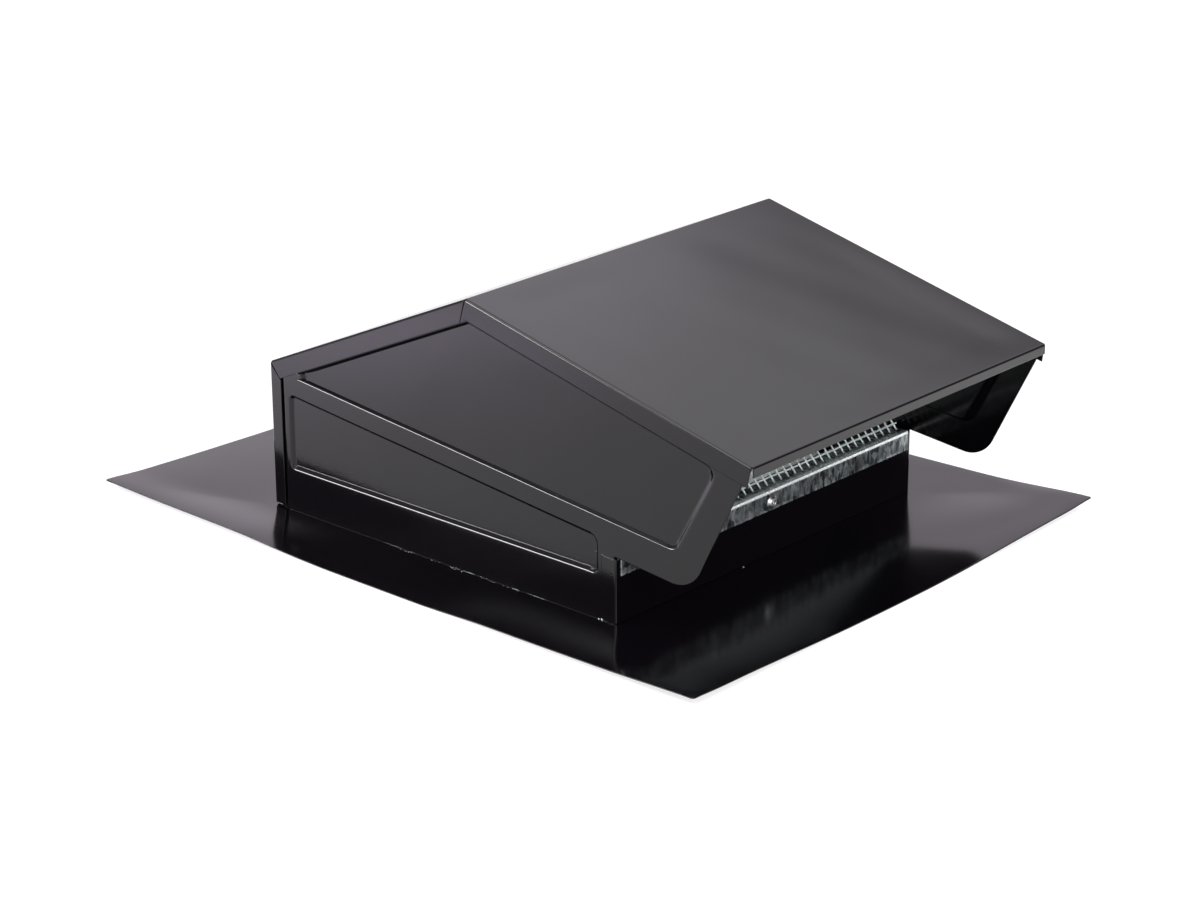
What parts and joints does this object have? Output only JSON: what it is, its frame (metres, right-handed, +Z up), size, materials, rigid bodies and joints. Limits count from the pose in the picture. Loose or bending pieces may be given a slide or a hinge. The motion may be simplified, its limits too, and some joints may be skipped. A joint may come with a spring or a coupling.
{
  "type": "roof vent cap",
  "caption": "Black folded-steel roof vent cap: low gabled hood on a wide flat flange, open at the front behind a bird screen, with a hinged back-draught flap over its duct throat.",
  "frame": {"origin": "middle of the roof flange's underside", "axes": "+Z up off the roof, +Y up the roof slope, the open front faces -Y"},
  "size_m": [0.361, 0.459, 0.1605],
  "materials": {
    "black_enamel": "glossy black baked enamel on sheet steel",
    "galvanised_steel": "hot-dip galvanised sheet with spangle",
    "screen_wire": "galvanised wire cloth, zinc fillets at the crossings",
    "bright_steel": "bright zinc-plated steel",
    "rivet_aluminium": "plain aluminium blind rivet"
  },
  "bodies": {
    "cap": {"roof_flange": "black_enamel", "hood_top": "black_enamel", "left_side_panel": "black_enamel", "right_side_panel": "black_enamel", "throat_front": "black_enamel", "screen_rail": "galvanised_steel", "bird_screen": "screen_wire", "left_hinge_bracket": "galvanised_steel", "right_hinge_bracket": "galvanised_steel", "hinge_rod": "bright_steel", "rod_clips": "bright_steel", "rail_rivet": "rivet_aluminium"},
    "damper": {"damper_flap": "galvanised_steel"}
  },
  "joints": [
    {"name": "damper_swing", "type": "hinge", "parent": "cap", "child": "damper", "pos_m": [0, 0.1246, 0.01246], "axis": [-1, 0, 0], "range_deg": [0, 25]}
  ]
}
